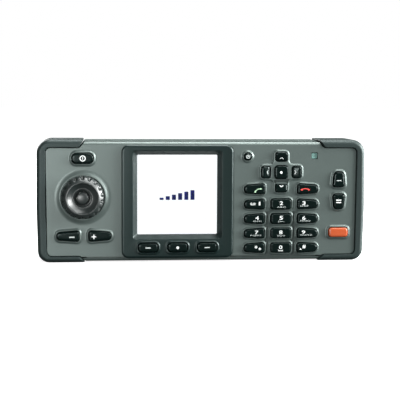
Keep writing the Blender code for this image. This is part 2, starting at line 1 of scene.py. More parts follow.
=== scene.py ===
"""Looks of a vehicle radiotelephone's control head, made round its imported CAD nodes.

Lengths are millimetres until Solid turns them into metres. The front faces -Y, X is to the right of
someone looking at it and Z is up. Places on the front are (x, z). A depth counts into the body from
the flat of the face, so whatever stands proud of the face has a negative depth.
"""

import json
import math

import bmesh
import bpy
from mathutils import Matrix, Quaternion, Vector
from mathutils.geometry import tessellate_polygon


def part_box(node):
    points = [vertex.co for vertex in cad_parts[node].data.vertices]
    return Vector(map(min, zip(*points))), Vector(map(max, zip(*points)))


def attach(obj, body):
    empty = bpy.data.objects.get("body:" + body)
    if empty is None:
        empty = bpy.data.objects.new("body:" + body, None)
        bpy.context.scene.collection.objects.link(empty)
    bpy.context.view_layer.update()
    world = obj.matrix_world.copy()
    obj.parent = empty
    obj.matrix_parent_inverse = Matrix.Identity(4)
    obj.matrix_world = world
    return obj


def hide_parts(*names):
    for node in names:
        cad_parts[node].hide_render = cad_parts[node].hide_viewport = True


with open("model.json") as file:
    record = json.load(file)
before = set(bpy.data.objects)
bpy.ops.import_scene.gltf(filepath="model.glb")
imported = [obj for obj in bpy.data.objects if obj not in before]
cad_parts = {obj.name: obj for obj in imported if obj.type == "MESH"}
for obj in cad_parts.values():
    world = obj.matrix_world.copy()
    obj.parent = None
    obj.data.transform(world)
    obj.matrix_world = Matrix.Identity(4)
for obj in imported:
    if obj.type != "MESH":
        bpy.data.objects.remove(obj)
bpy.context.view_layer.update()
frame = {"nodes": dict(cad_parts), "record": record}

MM = 0.001
SEAM_DEPTH = 9.0
FACE_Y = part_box("front_shell")[1].y / MM - SEAM_DEPTH


def low(node):
    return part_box(node)[0] / MM


def high(node):
    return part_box(node)[1] / MM


def middle(node):
    """Centre of a node seen from the front, as (x, z)."""
    centre = (low(node) + high(node)) / 2
    return centre.x, centre.z


def depth_of(y):
    return y - FACE_Y


# Sizes that the pieces share with the CAD nodes they stand for
GAP = 0.3
BACK = depth_of(high("rear_cover").y)
COVER_FRONT = depth_of(low("rear_cover").y)
FACE_THICK = 2.2
SHELL_BOTTOM = low("front_shell").z - GAP
SHELL_TOP = high("front_shell").z + GAP
COVER_TOP = high("rear_cover").z + GAP
HALF_WIDTH = high("right_bumper").x
TOP = high("right_bumper").z
BUMPER_BACK = depth_of(high("right_bumper").y)
BUMPER_FRONT = depth_of(low("right_bumper").y)
# The line between shell and bumper: its upright at the bottom and the top, the heights where that turns into
# the legs, and each leg's end at the housing's edge and where it meets the upright's height
BUMPER_IN_X = (87.6, 88.1)
BUMPER_IN_Z = (3.4, 64.7)
LEG_BOTTOM = (65.7, 68.8)
LEG_TOP = (66.4, 69.0)
LEG_ROUNDING = (1.0, 2.0)

BEZEL = middle("display_bezel")
BEZEL_SIZE = tuple((high("display_bezel") - low("display_bezel")).xz)
BEZEL_PROUD = 2.2
BEZEL_BACK = 3.2
WINDOW = middle("lcd_panel")
WINDOW_SIZE = (45.1, 44.9)
RECESS_SIZE = (50.0, 49.4)
REBATE_SIZE = (49.8, 49.4)
REBATE_FLOOR = 2.0

KEY_PROUD = 2.0
SOFT_PROUD = -depth_of(low("soft_key_middle").y)
KNOB = middle("volume_knob")
KNOB_FRONT = depth_of(low("volume_knob").y)
FLUTES = 18
NAV = middle("nav_select_key")
NAV_STEP = middle("nav_up_key")[1] - NAV[1]
NAV_ARM = 6.8
NAV_REACH = 5.3
COLLAR_BASE = 0.85
COLLAR_PROUD = 0.8
SHELL_WALL = 2.0
COVER_WALL = 2.2
COVER_FLOOR = 28.5
SPIGOT_INSET = 2.0
BEZEL_CORNER = 4.0
SHELL_CORNER = 3.0
CONNECTOR_SIZE = (23.4, 11.4)
SOCKET_SIZE = (18.0, 6.5)
PLATE_SIZE = (40.0, 22.0)

# Sizes and point counts that only the finer shapes have
PRINT_THICK = 0.03
PRINT_SUNK = 0.12
FLUTE_STEPS = 16
FLUTE_FLOOR = 10.1
SIDE_STEPS = 5
BUMPER_ROUNDING = 2.5
BUMPER_END_ROUNDING = 0.8
BUMPER_SHELL_ROUNDING = 0.35
BUMPER_FRONT_DEPTH = 1.9
BUMPER_ARC_STEPS = 12
CONTACT_COLUMNS = 7
CONTACT_PITCH = 2.2
CONTACT_ROWS = (-1.3, 1.3)


# Materials


def principled(name):
    material = bpy.data.materials.new(name)
    material.use_nodes = True
    return material, material.node_tree.nodes, material.node_tree.links


def surface(name, colour, roughness, metallic=0.0, specular=0.5, mottle=0.06, mottle_mm=9.0,
            grain_mm=0.35, grain=0.12, spread=0.08, cool=False):
    """A moulded or painted surface: faint patches of colour and sheen, and a fine raised grain.

    `cool` gives its reflections a faint blue-green tint.
    """
    material, nodes, links = principled(name)
    shader = nodes["Principled BSDF"]
    shader.inputs["Metallic"].default_value = metallic
    shader.inputs["Specular IOR Level"].default_value = specular
    if cool:
        shader.inputs["Specular Tint"].default_value = (0.86, 1.0, 0.985, 1.0)
    place = nodes.new("ShaderNodeTexCoord")

    def noise(size_mm, detail):
        node = nodes.new("ShaderNodeTexNoise")
        node.inputs["Scale"].default_value = 1 / (size_mm * MM)
        node.inputs["Detail"].default_value = detail
        links.new(place.outputs["Object"], node.inputs["Vector"])
        return node

    patches, fine = noise(mottle_mm, 4.0), noise(grain_mm, 2.0)
    mix = nodes.new("ShaderNodeMix")
    mix.data_type = "RGBA"
    dark = [max(0.0, c * (1 - mottle)) for c in colour]
    light = [min(1.0, c * (1 + mottle)) for c in colour]
    for socket in mix.inputs:
        if socket.name in ("A", "B") and socket.type == "RGBA":
            socket.default_value = (*(dark if socket.name == "A" else light), 1.0)
    links.new(patches.outputs["Fac"], mix.inputs["Factor"])
    colour_out = next(s for s in mix.outputs if s.type == "RGBA")
    links.new(colour_out, shader.inputs["Base Color"])

    sheen = nodes.new("ShaderNodeMapRange")
    sheen.inputs["From Min"].default_value = 0.3
    sheen.inputs["From Max"].default_value = 0.7
    sheen.inputs["To Min"].default_value = roughness * (1 - spread)
    sheen.inputs["To Max"].default_value = min(1.0, roughness * (1 + spread))
    links.new(fine.outputs["Fac"], sheen.inputs["Value"])
    links.new(sheen.outputs["Result"], shader.inputs["Roughness"])

    bump = nodes.new("ShaderNodeBump")
    bump.inputs["Strength"].default_value = grain
    bump.inputs["Distance"].default_value = 0.05 * MM
    links.new(fine.outputs["Fac"], bump.inputs["Height"])
    links.new(bump.outputs["Normal"], shader.inputs["Normal"])
    return material


def glowing(name, colour, strength, patch=0.015):
    """A lit panel: its light varies very slightly across it, as a backlight's does."""
    material, nodes, links = principled(name)
    shader = nodes["Principled BSDF"]
    shader.inputs["Base Color"].default_value = (0.02, 0.02, 0.02, 1.0)
    shader.inputs["Roughness"].default_value = 0.4
    shader.inputs["Specular IOR Level"].default_value = 0.1
    place, noise, ramp = (nodes.new("ShaderNode" + kind) for kind in ("TexCoord", "TexNoise", "MapRange"))
    noise.inputs["Scale"].default_value = 1 / (20 * MM)
    links.new(place.outputs["Object"], noise.inputs["Vector"])
    ramp.inputs["To Min"].default_value = strength * (1 - patch)
    ramp.inputs["To Max"].default_value = strength * (1 + patch)
    links.new(noise.outputs["Fac"], ramp.inputs["Value"])
    shader.inputs["Emission Color"].default_value = (*colour, 1.0)
    links.new(ramp.outputs["Result"], shader.inputs["Emission Strength"])
    return material


def clear_glass(name):
    material = surface(name, (0.98, 0.99, 0.99), 0.03, specular=0.5, mottle=0.003, grain=0.0, spread=0.3)
    shader = material.node_tree.nodes["Principled BSDF"]
    shader.inputs["Transmission Weight"].default_value = 1.0
    shader.inputs["IOR"].default_value = 1.45
    return material


LOOKS = {
    "face_plastic": surface("satin_grey_paint", (0.088, 0.114, 0.107), 0.43, metallic=0.45, specular=1.0,
                            mottle=0.04, mottle_mm=14, grain_mm=0.5, grain=0.35, spread=0.1),
    "rubber": surface("moulded_rubber", (0.012, 0.019, 0.0185), 0.5, specular=0.42, mottle=0.12,
                      mottle_mm=1.6, grain_mm=0.7, grain=0.6, spread=0.15, cool=True),
    "bezel_plastic": surface("satin_black_plastic", (0.003, 0.009, 0.0085), 0.36, specular=0.42, grain=0.2,
                             cool=True),
    "black_plastic": surface("textured_black_plastic", (0.016, 0.019, 0.019), 0.5, grain_mm=0.6, grain=0.5),
    "knob_plastic": surface("knob_plastic", (0.008, 0.0125, 0.012), 0.4, specular=0.95, grain=0.1),
    "key_plastic": surface("key_plastic", (0.0015, 0.0048, 0.0043), 0.25, specular=0.22, grain=0.06,
                           cool=True),
    "orange_plastic": surface("orange_plastic", (0.42, 0.07, 0.018), 0.26, specular=0.9, mottle=0.05,
                              grain=0.05),
    "lens_glass": clear_glass("lens_glass"),
    "lcd_panel": glowing("lit_display", (0.97, 0.99, 1.0), 1.12),
    "teal_window": surface("teal_window", (0.17, 0.30, 0.275), 0.2, mottle=0.18, mottle_mm=1.2, grain=0.05),
    "white_plastic": surface("white_diffuser", (0.78, 0.78, 0.77), 0.5, mottle=0.02),
    "circuit_board": surface("solder_mask", (0.015, 0.11, 0.05), 0.4, mottle=0.25, mottle_mm=5, grain=0.2),
    "silicone": surface("silicone", (0.05, 0.052, 0.052), 0.6, mottle=0.06, grain=0.1),
    "steel": surface("zinc_plated_steel", (0.56, 0.57, 0.56), 0.3, metallic=1.0, mottle=0.1, mottle_mm=1.5),
    "tinned_steel": surface("tinned_steel", (0.6, 0.6, 0.58), 0.4, metallic=1.0, mottle=0.08, mottle_mm=4),
    "brass": surface("brass", (0.62, 0.42, 0.14), 0.32, metallic=1.0, mottle=0.12, mottle_mm=1.5),
    "blank_label": surface("blank_label", (0.42, 0.43, 0.42), 0.45, metallic=0.6, mottle=0.05, grain=0.1),
}
WHITE_INK = surface("white_ink", (0.78, 0.8, 0.79), 0.5, mottle=0.04, mottle_mm=0.8, grain=0.1)
PALE_INK = surface("pale_ink", (0.5, 0.54, 0.53), 0.5, mottle=0.05, mottle_mm=0.8, grain=0.1)
DIM_INK = surface("dim_ink", (0.33, 0.38, 0.37), 0.5, mottle=0.05, mottle_mm=0.8, grain=0.1)
GREEN_INK = surface("green_ink", (0.5, 0.75, 0.5), 0.5, mottle=0.04, mottle_mm=0.8, grain=0.1)
RED_INK = surface("red_ink", (0.75, 0.07, 0.06), 0.5, mottle=0.04, mottle_mm=0.8, grain=0.1)
BLUE_PIXELS = surface("blue_pixels", (0.012, 0.018, 0.16), 0.5, specular=0.1, mottle=0.05, mottle_mm=1,
                      grain=0.0)
GOLD = surface("gold_contacts", (0.78, 0.55, 0.2), 0.25, metallic=1.0, mottle=0.06, mottle_mm=1)


# Outlines, as lists of (x, z, radius) corners, and the bodies made from them


def outline(corners, grow=0.0, steps=8):
    """Points round a polygon with rounded corners, moved outwards by `grow`."""
    points = []
    for i, (x, z, radius) in enumerate(corners):
        here = Vector((x, z))
        before = Vector(corners[i - 1][:2])
        after = Vector(corners[(i + 1) % len(corners)][:2])
        inward = (here - before).normalized()
        onward = (after - here).normalized()
        bend = math.copysign(1.0, inward.x * onward.y - inward.y * onward.x)
        normals = Vector((inward.y, -inward.x)), Vector((onward.y, -onward.x))
        halfway = (normals[0] + normals[1]) / (1 + normals[0].dot(normals[1]))
        rounding = max(radius + grow * bend, 0.05)
        centre = here + halfway * (grow - rounding * bend)
        first = math.atan2(normals[0].y * bend, normals[0].x * bend)
        turn = math.acos(max(-1.0, min(1.0, normals[0].dot(normals[1])))) * bend
        for k in range(steps + 1):
            angle = first + turn * k / steps
            points.append((centre.x + rounding * math.cos(angle), centre.y + rounding * math.sin(angle)))
    return points


def shifted(corners, moves):
    """The corners once each side, from its corner to the next, has moved outwards by its own amount."""
    moved = []
    for i, (x, z, radius) in enumerate(corners):
        here = Vector((x, z))
        inward = (here - Vector(corners[i - 1][:2])).normalized()
        onward = (Vector(corners[(i + 1) % len(corners)][:2]) - here).normalized()
        first, second = Vector((inward.y, -inward.x)), Vector((onward.y, -onward.x))
        turn = first.x * second.y - first.y * second.x
        a, b = here.dot(first) + moves[i - 1], here.dot(second) + moves[i]
        place = (a * second.y - b * first.y) / turn, (first.x * b - second.x * a) / turn
        moved.append((*place, radius + (moves[i - 1] + moves[i]) / 2 * math.copysign(1.0, turn)))
    return moved


def box_corners(place, size, radius):
    x, z = place
    half_x, half_z = size[0] / 2, size[1] / 2
    return [
        (x - half_x, z - half_z, radius),
        (x + half_x, z - half_z, radius),
        (x + half_x, z + half_z, radius),
        (x - half_x, z + half_z, radius),
    ]


def circle(place, radius, steps=48):
    turns = (2 * math.pi * k / steps for k in range(steps))
    return [(place[0] + radius * math.cos(a), place[1] + radius * math.sin(a)) for a in turns]


def at(place, corners):
    return [(place[0] + x, place[1] + z, radius) for x, z, radius in corners]


def smooth(profile, steps=3):
    """More points along a profile, on a curve through the ones given."""
    fine = []
    last = len(profile) - 1
    for i in range(last):
        p0, p1, p2, p3 = (Vector(profile[max(0, min(last, j))]) for j in (i - 1, i, i + 1, i + 2))
        for k in range(steps):
            t = k / steps
            a, b = p2 - p0, 2 * p0 - 5 * p1 + 4 * p2 - p3
            c = -p0 + 3 * p1 - 3 * p2 + p3
            fine.append(tuple(0.5 * (2 * p1 + a * t + b * t * t + c * t * t * t)))
    return fine + [tuple(profile[-1])]


class Solid:
    """A closed body made of rings of points, each ring at one depth."""

    def __init__(self):
        self.mesh = bmesh.new()

    def ring(self, points, depth):
        """`depth` is a number, or a function of the place."""
        at_depth = depth if callable(depth) else lambda x, z: depth
        return [self.mesh.verts.new(Vector((x, FACE_Y + at_depth(x, z), z)) * MM) for x, z in points]

    def walls(self, *rings):
        for near, far in zip(rings, rings[1:]):
            for i in range(len(near)):
                self.mesh.faces.new((near[i - 1], near[i], far[i], far[i - 1]))

    def cap(self, rim, holes=()):
        loops = [rim, *holes]
        flat = [vert for loop in loops for vert in loop]
        places = [[Vector((v.co.x, v.co.z, 0.0)) / MM for v in loop] for loop in loops]
        for corners in tessellate_polygon(places):
            self.mesh.faces.new([flat[i] for i in corners])

    def finish(self, name, body, material, slot=None, replaces=(), sharp=38):
        bmesh.ops.recalc_face_normals(self.mesh, faces=self.mesh.faces)
        data = bpy.data.meshes.new(name)
        self.mesh.to_mesh(data)
        self.mesh.free()
        data.shade_smooth()
        data.set_sharp_from_angle(angle=math.radians(sharp))
        data.materials.append(material)
        obj = bpy.data.objects.new(name, data)
        bpy.context.scene.collection.objects.link(obj)
        normals = obj.modifiers.new("flat_faces_stay_flat", "WEIGHTED_NORMAL")
        normals.keep_sharp = True
        normals.weight = 80
        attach(obj, body)
        if replaces:
            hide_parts(*replaces)
        return obj


def stand_in(solid, node, body, slot, sharp=38):
    """Finishes a solid that is shown in place of a CAD node."""
    return solid.finish("fine_" + node, body, LOOKS[slot], slot, (node,), sharp)


def turned(place, profile, steps=48, bored=False):
    solid = Solid()
    rings = [solid.ring(circle(place, radius, steps), depth) for radius, depth in profile]
    solid.walls(*rings)
    if bored:
        solid.walls(rings[-1], rings[0])
    else:
        solid.cap(rings[0])
        solid.cap(rings[-1])
    return solid


# Keys


def key_corners(kind):
    """Outline of a key about its own centre, anticlockwise from its lower left."""
    shapes = {
        "pad_left": [(-5.7, -2.2, 1.8), (5.7, -2.9, 1.2), (5.7, 2.9, 1.3), (-5.7, 2.0, 1.9)],
        "pad_middle": box_corners((0, 0), (11.5, 5.8), 1.4),
        "pad_right": [(-5.7, -2.9, 1.2), (5.7, -2.2, 1.8), (5.7, 2.0, 1.9), (-5.7, 2.9, 1.3)],
        "volume_left": [(-6.1, -2.0, 1.8), (6.1, -3.0, 1.3), (6.1, 3.0, 1.3), (-6.1, 2.0, 1.8)],
        "volume_right": [(-6.1, -3.0, 1.3), (6.1, -2.0, 1.8), (6.1, 2.0, 1.8), (-6.1, 3.0, 1.3)],
        "power": box_corners((0, 0), (11.6, 5.6), 2.3),
        "soft": box_corners((0, 0), (10.8, 4.8), 1.7),
        "nav_wide": box_corners((0, 0), (NAV_ARM, NAV_REACH), 1.5),
        "nav_tall": box_corners((0, 0), (NAV_REACH, NAV_ARM), 1.5),
        "nav_select": box_corners((0, 0), (7.3, 7.3), 1.6),
        "round": box_corners((0, 0), (4.0, 4.0), 2.0),
        "function_upper": [(-3.4, -4.2, 1.4), (3.4, -4.2, 1.4), (2.5, 4.2, 1.8), (-2.5, 4.2, 1.8)],
        "function_lower": [(-2.5, -4.2, 1.8), (2.5, -4.2, 1.8), (3.4, 4.2, 1.4), (-3.4, 4.2, 1.4)],
        "emergency": box_corners((0, 0), (10.8, 5.2), 1.6),
    }
    return shapes[kind]


KEY_KINDS = {
    "power_key": "power",
    "volume_down_key": "volume_left",
    "volume_up_key": "volume_right",
    "soft_key_left": "soft",
    "soft_key_middle": "soft",
    "soft_key_right": "soft",
    "nav_up_key": "nav_wide",
    "nav_down_key": "nav_wide",
    "nav_left_key": "nav_tall",
    "nav_right_key": "nav_tall",
    "nav_select_key": "nav_select",
    "call_key": "pad_left",
    "end_key": "pad_right",
    "light_key": "round",
    "function_key_upper": "function_upper",
    "function_key_lower": "function_lower",
    "emergency_key": "emergency",
}
KEY_KINDS.update({"key_" + mark: "pad_left" for mark in ("1", "4", "7", "star")})
KEY_KINDS.update({"key_" + mark: "pad_middle" for mark in "2580"})
KEY_KINDS.update({"key_" + mark: "pad_right" for mark in ("3", "6", "9", "hash")})


def nav_tilt(place):
    """How far an arrow key's top falls away, inwards, on the half that is next to the centre."""
    outward = Vector((place[0] - NAV[0], place[1] - NAV[1])).normalized()

    def fall(x, z):
        along = (Vector((x, z)) - Vector(place)).dot(outward)
        return 0.48 * max(0.0, 0.5 - along)

    return fall


def slopes(kind):
    return kind in ("nav_wide", "nav_tall")


def key_top(node):
    """How far a key stands proud, and how far its top falls away from there at a place."""
    kind = KEY_KINDS[node]
    fall = nav_tilt(middle(node)) if slopes(kind) else lambda x, z: 0.0
    return SOFT_PROUD if kind == "soft" else KEY_PROUD, fall


def make_key(node, kind):
    place = middle(node)
    corners = at(place, key_corners(kind))
    proud, fall = key_top(node)
    seat = (BEZEL_BACK if kind == "soft" else FACE_THICK) + GAP
    flange = outline(corners, 0.55 if kind.startswith("nav") else 0.8)
    solid = Solid()

    def top(grow, below):
        return solid.ring(outline(corners, grow), lambda x, z: below - proud + fall(x, z))

    rings = [
        solid.ring(flange, seat + 1.0),
        solid.ring(flange, seat),
        solid.ring(outline(corners), seat),
        top(0.0, 1.0),
        top(-0.02, 0.72),
        top(-0.12, 0.44),
        top(-0.3, 0.24),
        top(-0.55, 0.13),
        top(-0.85, 0.06),
        top(-1.2, 0.015),
    ]
    if kind == "round":
        rings = rings[:-1]
    solid.walls(*rings)
    solid.cap(rings[0])
    if slopes(kind):
        centre = solid.mesh.verts.new(Vector((place[0], FACE_Y - proud + fall(*place), place[1])) * MM)
        rim = rings[-1]
        for i in range(len(rim)):
            solid.mesh.faces.new((rim[i - 1], rim[i], centre))
    else:
        solid.cap(rings[-1])
    stand_in(solid, node, node, "orange_plastic" if kind == "emergency" else "key_plastic")


# Printed marks: flat shapes a hair proud of the key's top


def band(points, widths):
    """A closed polygon of a given width along a line."""
    if not hasattr(widths, "__len__"):
        widths = [widths] * len(points)
    left, right = [], []
    for i, (point, width) in enumerate(zip(points, widths)):
        before, after = Vector(points[max(0, i - 1)]), Vector(points[min(len(points) - 1, i + 1)])
        along = (after - before).normalized()
        side = Vector((-along.y, along.x)) * width / 2
        left.append(tuple(Vector(point) + side))
        right.append(tuple(Vector(point) - side))
    return left + right[::-1]


def bar(width, height, place=(0, 0)):
    return outline(box_corners(place, (width, height), min(width, height) * 0.3), steps=3)


def printed(name, node, shapes, ink, shift=(0.0, 0.0)):
    """Shapes are polygons, or (polygon, hole) pairs, about the key's centre."""
    place = Vector(middle(node)) + Vector(shift)
    proud, fall = key_top(node)
    solid = Solid()
    for shape in shapes:
        loops = shape if isinstance(shape, tuple) else (shape,)
        sheets = []
        for above in (-PRINT_SUNK, PRINT_THICK):
            moved = [[tuple(place + Vector(point)) for point in loop] for loop in loops]
            rings = [solid.ring(loop, lambda x, z, h=above: fall(x, z) - proud - h) for loop in moved]
            solid.cap(rings[0], rings[1:])
            sheets.append(rings)
        for near, far in zip(*sheets):
            solid.walls(near, far)
    solid.finish(name, node, ink)


def lettered(name, node, text, height, width, shift, ink, weight=0.0):
    """Figures or letters as a flat raised print of a given height and overall width.

    `weight` thickens the strokes.
    """
    curve = bpy.data.curves.new(name, "FONT")
    curve.body = text
    curve.align_x = "CENTER"
    curve.extrude = 0.5
    curve.offset = weight
    curve.space_character = 1.15
    curve.resolution_u = 3
    drawn = bpy.data.objects.new(name + "_drawn", curve)
    bpy.context.scene.collection.objects.link(drawn)
    bpy.context.view_layer.update()
    data = bpy.data.meshes.new_from_object(drawn.evaluated_get(bpy.context.evaluated_depsgraph_get()))
    bpy.data.objects.remove(drawn)
    xs, ys = [v.co.x for v in data.vertices], [v.co.y for v in data.vertices]
    middle_x, middle_y = (min(xs) + max(xs)) / 2, (min(ys) + max(ys)) / 2
    scale_x, scale_y = width / (max(xs) - min(xs)), height / (max(ys) - min(ys))
    place = middle(node)
    for v in data.vertices:
        x = place[0] + shift[0] + (v.co.x - middle_x) * scale_x
        z = place[1] + shift[1] + (v.co.y - middle_y) * scale_y
        depth = -KEY_PROUD - (PRINT_THICK if v.co.z > 0 else -PRINT_SUNK)
        v.co = Vector((x, FACE_Y + depth, z)) * MM
    data.name = name
    tidy = bmesh.new()
    tidy.from_mesh(data)
    bmesh.ops.remove_doubles(tidy, verts=tidy.verts, dist=1e-7)
    bmesh.ops.recalc_face_normals(tidy, faces=tidy.faces)
    tidy.to_mesh(data)
    tidy.free()
    data.materials.clear()
    data.materials.append(ink)
    obj = bpy.data.objects.new(name, data)
    bpy.context.scene.collection.objects.link(obj)
    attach(obj, node)


def make_marks():
    ring = (circle((0, 0), 1.7, 40), circle((0, 0), 1.15, 40))
    printed("power_mark", "power_key", [ring, bar(0.42, 1.4)], WHITE_INK, (0.1, 0.1))
    printed("volume_down_mark", "volume_down_key", [bar(3.0, 0.7)], PALE_INK, (2.2, -0.4))
    printed("volume_up_mark", "volume_up_key", [plus(2.5, 0.55)], WHITE_INK, (-3.35, -0.2))
    printed("soft_left_mark", "soft_key_left", [bar(3.0, 0.6)], PALE_INK)
    printed("soft_middle_mark", "soft_key_middle", [circle((0, 0), 0.8, 24)], WHITE_INK)
    printed("soft_right_mark", "soft_key_right", [bar(3.0, 0.6)], PALE_INK)
    round_ring = (circle((0, 0), 1.1, 32), circle((0, 0), 0.72, 32))
    printed("light_mark", "light_key", [round_ring, band([(-0.35, -0.3), (0.4, 0.35)], 0.42)], PALE_INK)

    chevron = [(-1.0, -0.35), (-0.5, 0.12), (0.0, 0.35), (0.5, 0.12), (1.0, -0.35)]
    arrows = {
        "up": (chevron, WHITE_INK, (0, -0.9)),
        "down": ([(x, -z) for x, z in chevron], WHITE_INK, (0, 0.9)),
        "left": ([(-z, x) for x, z in chevron], DIM_INK, (0.9, 0)),
        "right": ([(z, x) for x, z in chevron], WHITE_INK, (-0.9, 0)),
    }
    for way, (line, ink, shift) in arrows.items():
        printed(f"nav_{way}_mark", f"nav_{way}_key", [band(line, 0.42)], ink, shift)
    printed("nav_select_mark", "nav_select_key", [circle((0, 0), 0.72, 24)], WHITE_INK, (-0.2, -0.1))

    # A handset: an arc that is thicker at both ends, level on the end key and tipped up on the call key
    angles = [math.radians(degrees) for degrees in range(-72, 73, 4)]
    handset = [(math.sin(angle) * 2.1, math.cos(angle) * 1.35 - 0.95) for angle in angles]
    widths = [0.48 + 0.5 * max(0.0, abs(x) / 2.0 - 0.55) / 0.45 for x, _ in handset]
    level = [(x * 1.15, z) for x, z in handset]
    printed("end_mark", "end_key", [band(level, widths)], RED_INK, (-1.5, -0.2))
    across, upwards = math.cos(math.radians(28)), math.sin(math.radians(28))
    raised = [(x * across - z * upwards, x * upwards + z * across) for x, z in handset]
    printed("call_mark", "call_key", [band(raised, [w * 0.85 for w in widths])], GREEN_INK, (1.65, -0.5))

    printed("function_upper_mark", "function_key_upper", [bar(2.7, 0.5)], PALE_INK, (-0.1, -0.57))
    lines = [bar(3.0, 0.62, (0, 0.9)), bar(3.0, 0.62, (0, -0.45))]
    printed("function_lower_mark", "function_key_lower", lines, WHITE_INK, (-0.1, 0))

    digits = {
        "1": (2.7, 0.45), "2": (0, 0.62), "3": (-2.2, 0.62), "4": (1.4, 0.55), "5": (0, 0.55),
        "6": (-2.1, 0.4), "7": (1.2, 0.57), "8": (-0.1, 0.57), "9": (-2.2, 0.57), "0": (-0.1, 0.3),
    }
    for digit, shift in digits.items():
        width = 0.85 if digit == "1" else 1.9
        lettered("digit_" + digit, "key_" + digit, digit, 2.1, width, shift, WHITE_INK, 0.012)
    letter_height, letter_stretch = 0.85, 1.08
    letters = {
        "2": ("ABC", 4.6, (0, -1.6)), "3": ("DEF", 4.3, (-1.9, -0.95)), "4": ("GHI", 4.3, (1.4, -1.25)),
        "5": ("JKL", 3.6, (0, -1.6)), "6": ("MNO", 5.4, (-1.3, -1.2)), "7": ("PQRS", 5.8, (0.7, -1.15)),
        "8": ("TUV", 4.4, (0, -1.4)), "9": ("WXYZ", 6.6, (-0.75, -1.05)),
    }
    for digit, (text, width, shift) in letters.items():
        stretched = width * letter_stretch
        lettered("letters_" + digit, "key_" + digit, text, letter_height, stretched, shift, PALE_INK)
    reel = [(circle((x, 0), 0.62, 24), circle((x, 0), 0.3, 24)) for x in (-0.9, 0.9)]
    printed("message_mark", "key_1", [*reel, bar(1.8, 0.26, (0, -0.6))], WHITE_INK, (-1.1, 0.3))
    for number in range(3):
        tip = (0.85 * math.cos(number * math.pi / 3), 0.85 * math.sin(number * math.pi / 3))
        name = f"star_ray_{number}" if number else "star_mark"
        printed(name, "key_star", [band([(-tip[0], -tip[1]), tip], 0.4)], WHITE_INK, (0.9, 0.5))
    printed("plus_mark", "key_star", [plus(1.5, 0.45)], WHITE_INK, (3.1, -0.5))
    bracket = band([(-1.2, 0.4), (-1.2, -0.15), (1.2, -0.15), (1.2, 0.4)], 0.36)
    printed("space_mark", "key_0", [bracket], WHITE_INK, (-0.1, -1.6))
    lettered("hash_mark", "key_hash", "#", 2.0, 1.9, (-1.75, 0.57), WHITE_INK, 0.03)
    printed("shift_mark", "key_hash", [[(-0.6, -0.5), (0.6, -0.5), (0.0, 0.6)]], WHITE_INK, (-3.8, -0.7))


def plus(size, thick):
    half, t = size / 2, thick / 2
    return [(-t, -half), (t, -half), (t, -t), (half, -t), (half, t), (t, t),
            (t, half), (-t, half), (-t, t), (-half, t), (-half, -t), (-t, -t)]


# Housing


def housing_corners(top):
    right = [
        (LEG_BOTTOM[0], SHELL_BOTTOM, LEG_ROUNDING[0]),
        (LEG_BOTTOM[1], BUMPER_IN_Z[0], LEG_ROUNDING[1]),
        (BUMPER_IN_X[0], BUMPER_IN_Z[0], SHELL_CORNER),
        (BUMPER_IN_X[1], BUMPER_IN_Z[1], SHELL_CORNER),
        (LEG_TOP[1], BUMPER_IN_Z[1], LEG_ROUNDING[1]),
        (LEG_TOP[0], top, LEG_ROUNDING[0]),
    ]
    return right + [(-x, z, radius) for x, z, radius in reversed(right)]


def face_corners(inset, bevel):
    """The shell's outline, drawn in by `bevel` along its bare edges and by `inset` beside the bumpers."""
    bottom, top = SHELL_BOTTOM + bevel, SHELL_TOP - bevel
    in_bottom, in_top = BUMPER_IN_Z[0] + inset, BUMPER_IN_Z[1] - inset

    def beside(leg, ends, z):
        return leg[0] + (leg[1] - leg[0]) * (z - ends[0]) / (ends[1] - ends[0]) - inset

    low_ends, high_ends = (SHELL_BOTTOM, BUMPER_IN_Z[0]), (SHELL_TOP, BUMPER_IN_Z[1])
    tight, wide = LEG_ROUNDING[0] - inset, LEG_ROUNDING[1] + inset
    right = [
        (beside(LEG_BOTTOM, low_ends, bottom), bottom, tight),
        (beside(LEG_BOTTOM, low_ends, in_bottom), in_bottom, wide),
        (BUMPER_IN_X[0] - inset, in_bottom, SHELL_CORNER - inset),
        (BUMPER_IN_X[1] - inset, in_top, SHELL_CORNER - inset),
        (beside(LEG_TOP, high_ends, in_top), in_top, wide),
        (beside(LEG_TOP, high_ends, top), top, tight),
    ]
    return right + [(-x, z, radius) for x, z, radius in reversed(right)]


def cross_corners():
    """Foot of the raised cross that the five navigation keys sit in."""
    arm = NAV_ARM / 2 + GAP + COLLAR_BASE
    reach = NAV_STEP + NAV_REACH / 2 + GAP + COLLAR_BASE
    turns = [(reach, -arm), (reach, arm), (arm, arm), (arm, reach), (-arm, reach), (-arm, arm)]
    turns += [(-x, -z) for x, z in turns]
    return [(NAV[0] + x, NAV[1] + z, 2.0 if abs(x) == abs(z) else 2.6) for x, z in turns]


# The face's edge: (inwards beside the bumpers, inwards along the bare edges, depth)
FACE_EDGE = [(0.32, 0.34, 1.2), (0.33, 0.5, 0.95), (0.35, 0.8, 0.62), (0.38, 1.15, 0.34), (0.43, 1.5, 0.14),
             (0.5, 1.8, 0.03), (0.6, 2.05, 0.0)]
# How a collar rises from the face and turns in to the key: (outwards from the hole, depth)
COLLAR = [(1.15, 0.0), (1.0, -0.05), (0.9, -0.18), (0.8, -0.38), (0.66, -0.58), (0.5, -0.73), (0.33, -0.8),
          (0.17, -0.76), (0.05, -0.62), (0.0, -0.45)]
WIDE_COLLAR = [(1.7, 0.0), (1.4, -0.04), (1.15, -0.16), (0.95, -0.34), (0.76, -0.54), (0.57, -0.7),
               (0.38, -0.8), (0.2, -0.77), (0.06, -0.64), (0.0, -0.45)]
# How the cross rises, drawn in from its foot: (outwards from the foot, depth)
CROSS_EDGE = [(0.3, 0.0), (0.15, -0.05), (0.04, -0.18), (-0.08, -0.38), (-0.24, -0.58), (-0.44, -0.72),
              (-0.66, -0.79), (-0.9, -0.8)]
